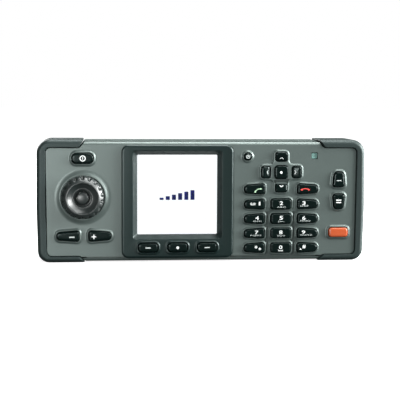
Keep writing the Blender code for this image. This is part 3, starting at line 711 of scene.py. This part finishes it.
# How the ring round the knob rises and drops into its seat: (radius, depth)
MOUND = [(15.9, 0.0), (15.2, -0.06), (14.5, -0.26), (13.8, -0.58), (13.2, -0.92), (12.75, -1.12),
         (12.5, -1.17), (12.36, -1.1), (12.3, -0.9), (12.3, 0.3)]


def make_front_shell():
    corners = housing_corners(SHELL_TOP)
    solid = Solid()

    def side(grow, depth):
        return solid.ring(outline(corners, grow, SIDE_STEPS), depth)

    inside = side(-SHELL_WALL, FACE_THICK)
    front = [side(-GAP, 1.5)]
    for inset, bevel, depth in FACE_EDGE:
        front.append(solid.ring(outline(face_corners(inset, bevel), 0.0, SIDE_STEPS), depth))
    face_edge = front[-1]
    solid.walls(inside, side(-SHELL_WALL, SEAM_DEPTH), side(-0.6, SEAM_DEPTH),
                side(-GAP, SEAM_DEPTH - 0.3), *front)

    face_holes, back_holes, cross_holes = [], [], []
    for node, kind in KEY_KINDS.items():
        if kind == "soft":
            continue
        here = at(middle(node), key_corners(kind))
        hole = outline(here, GAP)
        back = solid.ring(hole, FACE_THICK)
        back_holes.append(back)
        if kind.startswith("nav"):
            mouth = solid.ring(outline(here, GAP + 0.25), -COLLAR_PROUD)
            lip = solid.ring(outline(here, GAP + 0.07), 0.07 - COLLAR_PROUD)
            solid.walls(mouth, lip, solid.ring(hole, 0.3 - COLLAR_PROUD), back)
            cross_holes.append(mouth)
            continue
        profile = COLLAR if kind.startswith("pad") else WIDE_COLLAR
        rings = [solid.ring(outline(here, GAP + grow), depth) for grow, depth in profile]
        solid.walls(*rings, back)
        face_holes.append(rings[0])

    cross = cross_corners()
    rings = [solid.ring(outline(cross, grow), depth) for grow, depth in CROSS_EDGE]
    solid.walls(*rings)
    solid.cap(rings[-1], cross_holes)
    face_holes.append(rings[0])

    mound = smooth(MOUND) + [(4.9, 0.3), (4.9, FACE_THICK)]
    rings = [solid.ring(circle(KNOB, radius, 96), depth) for radius, depth in mound]
    solid.walls(*rings)
    face_holes.append(rings[0])
    back_holes.append(rings[-1])

    spigot = outline(box_corners(BEZEL, BEZEL_SIZE, BEZEL_CORNER), GAP - SPIGOT_INSET)
    mouth, back = solid.ring(spigot, 0.0), solid.ring(spigot, FACE_THICK)
    solid.walls(mouth, back)
    face_holes.append(mouth)
    back_holes.append(back)

    light = box_corners(middle("indicator_light_guide"), (3.7, 3.7), 0.5)
    rings = [solid.ring(outline(light, 0.18), 0.0), solid.ring(outline(light, 0.05), 0.06)]
    rings += [solid.ring(outline(light), 0.2), solid.ring(outline(light), FACE_THICK)]
    solid.walls(*rings)
    face_holes.append(rings[0])
    back_holes.append(rings[-1])

    solid.cap(face_edge, face_holes)
    solid.cap(inside, back_holes)
    stand_in(solid, "front_shell", "housing", "face_plastic")


def make_rear_cover():
    corners = housing_corners(COVER_TOP)
    solid = Solid()

    def side(grow, depth):
        return solid.ring(outline(corners, grow, SIDE_STEPS), depth)

    def bore(place, path, steps=32):
        """The rings of a round hole, joined along (radius, depth) pairs."""
        rings = [solid.ring(circle(place, radius, steps), depth) for radius, depth in path]
        solid.walls(*rings)
        return rings

    countersink = [(2.6, BACK - 0.25), (2.7, BACK - 0.08), (2.9, BACK)]
    inside, back = side(-COVER_WALL, COVER_FLOOR), side(-2.4, BACK)
    solid.walls(inside, side(-COVER_WALL, COVER_FRONT), side(-0.6, COVER_FRONT),
                side(-0.38, COVER_FRONT + 0.1), side(-GAP, COVER_FRONT + 0.35), side(-GAP, BACK - 2.1),
                side(-0.45, BACK - 1.4), side(-0.9, BACK - 0.7), side(-1.6, BACK - 0.2), back)
    outer_holes, inner_holes = [], []
    board_back = depth_of(high("main_board").y)
    for number in range(1, 5):
        place = middle(f"cover_screw_{number}")
        seat = depth_of(high(f"cover_screw_{number}").y) - 2.3
        foot = board_back + GAP
        pillar = [(3.2, COVER_FLOOR), (3.2, foot), (1.5, foot), (1.5, seat), (2.6, seat)]
        rings = bore(place, pillar + countersink)
        inner_holes.append(rings[0])
        outer_holes.append(rings[-1])
        place = middle(f"mount_insert_{number}")
        boss, top = bore(place, [(4.0, COVER_FLOOR), (4.0, 24.0)])
        solid.cap(top)
        rings = bore(place, [(2.6, 25.0)] + countersink)
        solid.cap(rings[0])
        inner_holes.append(boss)
        outer_holes.append(rings[-1])

    opening = box_corners(middle("rear_connector"), (24.0, 12.0), 1.5)
    rings = [solid.ring(outline(opening), COVER_FLOOR), solid.ring(outline(opening), BACK - 0.5)]
    rings += [solid.ring(outline(opening, 0.15), BACK - 0.15), solid.ring(outline(opening, 0.5), BACK)]
    solid.walls(*rings)
    inner_holes.append(rings[0])
    outer_holes.append(rings[-1])

    recess = box_corners(middle("rating_plate"), PLATE_SIZE, 1.5)
    rings = [solid.ring(outline(recess, GAP), BACK - 0.8), solid.ring(outline(recess, GAP), BACK - 0.15)]
    rings.append(solid.ring(outline(recess, GAP + 0.15), BACK))
    solid.walls(*rings)
    solid.cap(rings[0])
    outer_holes.append(rings[-1])
    solid.cap(inside, inner_holes)
    solid.cap(back, outer_holes)
    stand_in(solid, "rear_cover", "housing", "face_plastic")


def make_bumper(node, mirror):
    corners = [
        (LEG_BOTTOM[0], 0.0, 0.5),
        (HALF_WIDTH - 0.75, 0.0, 6.5),
        (HALF_WIDTH, 30.0, 60.0),
        (HALF_WIDTH - 0.35, TOP, 7.7),
        (LEG_TOP[0], TOP, 0.5),
        (LEG_TOP[1], BUMPER_IN_Z[1], LEG_ROUNDING[1]),
        (BUMPER_IN_X[1], BUMPER_IN_Z[1], SHELL_CORNER),
        (BUMPER_IN_X[0], BUMPER_IN_Z[0], SHELL_CORNER),
        (LEG_BOTTOM[1], BUMPER_IN_Z[0], LEG_ROUNDING[1]),
    ]
    # Each step: how far the outer sides, the leg ends and the sides by the shell draw in, and the depth
    steps = [(-1.3, -1.3, -0.4, BUMPER_BACK), (-0.8, -0.8, -0.2, BUMPER_BACK - 0.12),
             (-0.35, -0.35, 0.0, BUMPER_BACK - 0.45), (-0.08, -0.08, 0.1, BUMPER_BACK - 0.9),
             (0.0, 0.0, 0.15, BUMPER_BACK - 1.5)]
    for k in range(BUMPER_ARC_STEPS + 1):
        turn = math.radians(90 / BUMPER_ARC_STEPS * k)
        drawn = math.cos(turn) - 1
        depth = BUMPER_FRONT_DEPTH + (BUMPER_FRONT - BUMPER_FRONT_DEPTH) * math.sin(turn)
        steps.append((BUMPER_ROUNDING * drawn, BUMPER_END_ROUNDING * drawn,
                      0.2 + BUMPER_SHELL_ROUNDING * drawn, depth))
    solid, rings = Solid(), []
    for outer, end, inner, depth in steps:
        drawn = shifted(corners, [outer] * 4 + [end] + [inner] * 3 + [end])
        if mirror:
            drawn = [(-x, z, radius) for x, z, radius in reversed(drawn)]
        rings.append(solid.ring(outline(drawn, 0.0, 10), depth))
    solid.walls(*rings)
    solid.cap(rings[0])
    solid.cap(rings[-1])
    stand_in(solid, node, "housing", "rubber")


# Display


def make_bezel():
    outer = box_corners(BEZEL, BEZEL_SIZE, BEZEL_CORNER)
    solid = Solid()

    def side(corners, grow, depth):
        return solid.ring(outline(corners, grow), depth)

    spigot_back = side(outer, -SPIGOT_INSET, BEZEL_BACK)
    edge = [(0.0, -1.0), (-0.05, -1.35), (-0.22, -1.68), (-0.5, -1.94), (-0.9, -2.12), (-1.4, -BEZEL_PROUD)]
    rings = [side(outer, grow, depth) for grow, depth in edge]
    solid.walls(spigot_back, side(outer, -SPIGOT_INSET, -GAP), side(outer, 0.0, -GAP), *rings)
    front = rings[-1]
    recess = box_corners(WINDOW, RECESS_SIZE, 1.6)
    window = box_corners(WINDOW, WINDOW_SIZE, 0.6)
    rebate = box_corners(WINDOW, REBATE_SIZE, 0.8)
    lip, rebate_back = side(recess, 0.45, -BEZEL_PROUD), side(rebate, 0.0, BEZEL_BACK)
    solid.walls(lip, side(recess, 0.18, -BEZEL_PROUD + 0.06), side(recess, 0.0, -BEZEL_PROUD + 0.28),
                side(window, 0.12, REBATE_FLOOR - 0.62), side(window, 0.0, REBATE_FLOOR - 0.4),
                side(window, 0.0, REBATE_FLOOR), side(rebate, 0.0, REBATE_FLOOR), rebate_back)
    front_holes, back_holes = [lip], [rebate_back]
    for node, kind in KEY_KINDS.items():
        if kind != "soft":
            continue
        here = at(middle(node), key_corners(kind))
        steps = [(1.75, -2.2), (1.5, -2.25), (1.3, -2.38), (1.12, -2.58), (0.94, -2.72), (0.74, -2.76),
                 (0.55, -2.66), (0.4, -2.45), (GAP, -2.1)]
        rings = [side(here, grow, depth) for grow, depth in steps]
        back = side(here, GAP, BEZEL_BACK)
        solid.walls(*rings, back)
        front_holes.append(rings[0])
        back_holes.append(back)
    solid.cap(front, front_holes)
    solid.cap(spigot_back, back_holes)
    stand_in(solid, "display_bezel", "housing", "bezel_plastic")


def make_display_picture():
    """Rising signal bars, lit in dark blue on the white display."""
    front, back = 3.4, 3.55
    solid = Solid()
    bars, pitch, width = 6, 3.5, 2.3
    foot = WINDOW[1] - 3.2
    for number in range(bars):
        height = 1.3 + 0.85 * number
        place = (WINDOW[0] + (number - (bars - 1) / 2) * pitch, foot + height / 2)
        shape = outline(box_corners(place, (width, height), 0.3), steps=4)
        near, far = solid.ring(shape, front), solid.ring(shape, back)
        solid.walls(near, far)
        solid.cap(near)
        solid.cap(far)
    solid.finish("display_picture", "housing", BLUE_PIXELS)


# Knob


def make_knob():
    solid = Solid()
    steps = FLUTES * FLUTE_STEPS

    def fade(depth):
        """How fully the flutes are cut at a depth: not at all at the foot, fully 3.5 mm above the face."""
        t = max(0.0, min(1.0, (-1.5 - depth) / 2.0))
        return t * t * (3 - 2 * t)

    def ring(radius, depth, fluted=False):
        points = []
        for k in range(steps):
            wave = 0.1 + 0.9 * math.cos(2 * math.pi * k / FLUTE_STEPS)
            scoop = max(0.0, wave) ** 0.75 if fluted else 0.0
            reach = radius - max(0.0, radius - FLUTE_FLOOR) * fade(depth) * scoop
            angle = 2 * math.pi * k / steps + math.pi / 2
            points.append((KNOB[0] + reach * math.cos(angle), KNOB[1] + reach * math.sin(angle)))
        return solid.ring(points, depth)

    # Profiles as (radius, depth) pairs, from the foot over the rim, down the dish and up the hollow back
    outside = smooth([(11.6, -0.2), (11.85, -0.5), (11.9, -1.2), (11.87, -2.6), (11.82, -4.2),
                      (11.76, -5.8), (11.66, -6.7), (11.45, -7.35), (11.0, -7.95), (10.4, -8.5),
                      (9.7, -9.05), (9.1, -9.42), (8.75, KNOB_FRONT), (8.52, -9.36), (8.4, -9.1)], 3)
    dish = smooth([(8.4, -9.1), (8.15, -8.75), (7.4, -8.1), (6.5, -7.4), (5.7, -6.92), (5.5, -6.85)], 2)[1:]
    step = [(5.3, -6.9), (5.12, -6.86), (5.0, -6.7), (4.95, -6.3), (4.9, -5.7), (4.75, -5.58), (3.9, -5.5)]
    hollow = [(3.75, -5.35), (3.75, -1.0), (5.4, -1.0), (5.4, -4.6), (9.9, -4.6), (10.4, -0.2)]
    rings = [ring(radius, depth, True) for radius, depth in outside]
    rings += [ring(radius, depth) for radius, depth in dish + step + hollow]
    solid.walls(*rings, rings[0])
    stand_in(solid, "volume_knob", "volume_knob", "knob_plastic", 75)

    button = [(1.2, 5.5), (1.2, -5.5), (3.45, -5.5)]
    button += smooth([(3.45, -6.75), (3.38, -7.0), (3.15, -7.22), (2.6, -7.5), (1.8, -7.74), (0.9, -7.87),
                      (0.25, -7.9)], 2)
    stand_in(turned(KNOB, button, 64), "knob_button", "knob_button", "knob_plastic")


# Back and small parts


def make_back():
    for number in range(1, 5):
        node = f"cover_screw_{number}"
        place, back = middle(node), depth_of(high(node).y)
        front = depth_of(low(node).y)
        solid = Solid()
        rounds = [(1.2, front), (1.2, back - 2.0), (2.3, back - 2.0), (2.3, back - 0.5), (2.15, back - 0.2)]
        rounds.append((1.8, back))
        rings = [solid.ring(circle(place, radius, 36), depth) for radius, depth in rounds]
        lobes = [(place[0] + r * math.cos(a), place[1] + r * math.sin(a)) for r, a in (
            (1.02 + 0.18 * math.cos(6 * t), t) for t in (2 * math.pi * k / 48 for k in range(48)))]
        mouth, floor = solid.ring(lobes, back), solid.ring(lobes, back - 1.1)
        solid.walls(*rings)
        solid.walls(mouth, floor)
        solid.cap(rings[0])
        solid.cap(rings[-1], [mouth])
        solid.cap(floor)
        stand_in(solid, node, "housing", "steel")

        node = f"mount_insert_{number}"
        place, back = middle(node), depth_of(high(node).y)
        front = depth_of(low(node).y)
        tube = [(1.25, front), (2.3, front), (2.3, back - 0.15), (2.15, back), (1.6, back)]
        tube.append((1.3, back - 0.3))
        thread, turn = [], back - 0.5
        while turn > front + 0.4:
            thread += [(1.42, turn), (1.22, turn - 0.25)]
            turn -= 0.5
        stand_in(turned(place, tube + thread, 36, True), node, "housing", "brass")

    place = middle("rear_connector")
    body, socket = box_corners(place, CONNECTOR_SIZE, 1.2), box_corners(place, SOCKET_SIZE, 0.8)
    solid = Solid()
    far = BACK - 0.4
    rings = [solid.ring(outline(body), 20.0), solid.ring(outline(body), far - 0.4)]
    rings += [solid.ring(outline(body, -0.12), far - 0.12), solid.ring(outline(body, -0.4), far)]
    inner = [solid.ring(outline(socket, 0.4), far), solid.ring(outline(socket, 0.1), far - 0.15)]
    inner += [solid.ring(outline(socket), far - 0.45), solid.ring(outline(socket), 23.0)]
    solid.walls(*rings)
    solid.walls(*inner)
    solid.cap(rings[0])
    solid.cap(rings[-1], [inner[0]])
    solid.cap(inner[-1])
    stand_in(solid, "rear_connector", "housing", "black_plastic")
    for row, z in enumerate(CONTACT_ROWS):
        for column in range(CONTACT_COLUMNS):
            pin = (place[0] + (column - CONTACT_COLUMNS // 2) * CONTACT_PITCH, place[1] + z)
            solid = Solid()
            shape = box_corners(pin, (0.7, 0.7), 0.12)
            rings = [solid.ring(outline(shape, grow, 3), depth) for grow, depth in (
                (0.0, 22.7), (0.0, 28.2), (-0.2, 28.7))]
            solid.walls(*rings)
            solid.cap(rings[0])
            solid.cap(rings[-1])
            solid.finish(f"contact_{row + 1}_{column + 1}", "housing", GOLD)


def paint_nodes():
    """Every CAD node that still shows takes the material of its slot."""
    for part in frame["record"]["subparts"]:
        node = frame["nodes"][part["node"]]
        node.data.materials.clear()
        node.data.materials.append(LOOKS[part["material_slot"]])


# Studio


def only_for_camera(nodes, links, seen, other):
    """Mixes two shaders: one for what the camera sees, and one for what lights the object."""
    path, mix = nodes.new("ShaderNodeLightPath"), nodes.new("ShaderNodeMixShader")
    links.new(path.outputs["Is Camera Ray"], mix.inputs[0])
    links.new(other, mix.inputs[1])
    links.new(seen, mix.inputs[2])
    return mix.outputs[0]


def make_floor():
    mesh = bmesh.new()
    bmesh.ops.create_circle(mesh, cap_ends=True, segments=96, radius=6.0)
    data = bpy.data.meshes.new("floor")
    mesh.to_mesh(data)
    mesh.free()
    floor = bpy.data.objects.new("floor", data)
    bpy.context.scene.collection.objects.link(floor)
    material, nodes, links = principled("pale_floor")
    nodes.remove(nodes["Principled BSDF"])
    white, grey, glow, add = (nodes.new("ShaderNode" + kind) for kind in (
        "BsdfDiffuse", "BsdfDiffuse", "Emission", "AddShader"))
    white.inputs["Color"].default_value = (0.5, 0.5, 0.5, 1.0)
    grey.inputs["Color"].default_value = (0.06, 0.065, 0.065, 1.0)
    glow.inputs["Color"].default_value = (1.0, 1.0, 1.0, 1.0)
    place, distance, spread = (nodes.new("ShaderNode" + kind) for kind in (
        "TexCoord", "VectorMath", "MapRange"))
    distance.operation = "LENGTH"
    links.new(place.outputs["Object"], distance.inputs[0])
    spread.inputs["From Min"].default_value = 0.1
    spread.inputs["From Max"].default_value = 0.9
    spread.inputs["To Min"].default_value = 0.8
    spread.inputs["To Max"].default_value = 1.0
    links.new(distance.outputs["Value"], spread.inputs["Value"])
    links.new(spread.outputs["Result"], glow.inputs["Strength"])
    links.new(white.outputs[0], add.inputs[0])
    links.new(glow.outputs[0], add.inputs[1])
    mixed = only_for_camera(nodes, links, add.outputs[0], grey.outputs[0])
    links.new(mixed, nodes["Material Output"].inputs[0])
    data.materials.append(material)


def make_world():
    world = bpy.data.worlds.new("studio")
    bpy.context.scene.world = world
    world.use_nodes = True
    nodes, links = world.node_tree.nodes, world.node_tree.links
    seen, other = nodes["Background"], nodes.new("ShaderNodeBackground")
    seen.inputs["Color"].default_value = (1.0, 1.0, 1.0, 1.0)
    other.inputs["Color"].default_value = (0.75, 0.8, 0.8, 1.0)
    other.inputs["Strength"].default_value = 0.1
    mixed = only_for_camera(nodes, links, seen.outputs[0], other.outputs[0])
    links.new(mixed, nodes["World Output"].inputs[0])


def soft_light(name, place, aim, size, power, tint=(1.0, 1.0, 1.0)):
    data = bpy.data.lights.new(name, "AREA")
    data.shape = "RECTANGLE"
    data.size, data.size_y = size
    data.energy = power
    data.color = tint
    light = bpy.data.objects.new(name, data)
    light.location = place
    light.rotation_mode = "QUATERNION"
    light.rotation_quaternion = (Vector(aim) - Vector(place)).to_track_quat("-Z", "Y")
    light.visible_camera = False
    bpy.context.scene.collection.objects.link(light)


def make_lights():
    centre = (0.0, FACE_Y * MM, 0.035)
    tint = (0.98, 1.0, 0.99)
    soft_light("key_upper_right", (0.68, -0.5, 0.72), centre, (0.5, 0.5), 4.5, tint)
    soft_light("front_card", (-0.38, -0.75, 0.09), (-0.05, FACE_Y * MM, 0.035), (0.5, 0.16), 5.0, tint)
    soft_light("right_panel", (0.93, -0.1, 0.26), centre, (0.8, 0.46), 46.0, tint)
    soft_light("top_panel", (0.15, 0.08, 0.95), centre, (1.0, 0.5), 18.0, tint)
    soft_light("back_fill", (-0.6, 0.95, 0.45), (0.0, 0.02, 0.035), (0.8, 0.6), 9.0)


def make_camera():
    data = bpy.data.cameras.new("camera")
    data.sensor_width = 36.0
    data.lens = 101.07
    data.shift_x = -0.0069
    data.clip_start, data.clip_end = 0.01, 50.0
    camera = bpy.data.objects.new("camera", data)
    aim = Vector((0.0, FACE_Y, 35.0)) * MM
    azimuth, elevation, roll, distance = math.radians(-5.5), math.radians(5.5), math.radians(0.3), 0.633
    back = Vector((math.sin(azimuth) * math.cos(elevation), -math.cos(azimuth) * math.cos(elevation),
                   math.sin(elevation)))
    camera.location = aim + back * distance
    camera.rotation_mode = "QUATERNION"
    camera.rotation_quaternion = (-back).to_track_quat("-Z", "Y") @ Quaternion((0, 0, 1), roll)
    bpy.context.scene.collection.objects.link(camera)
    bpy.context.scene.camera = camera


def main():
    paint_nodes()
    make_front_shell()
    make_rear_cover()
    make_bumper("left_bumper", True)
    make_bumper("right_bumper", False)
    make_bezel()
    make_display_picture()
    make_knob()
    for node, kind in KEY_KINDS.items():
        make_key(node, kind)
    make_marks()
    make_back()
    make_floor()
    make_world()
    make_lights()
    make_camera()
    bpy.context.scene.view_settings.view_transform = "Standard"
    bpy.context.view_layer.update()


main()
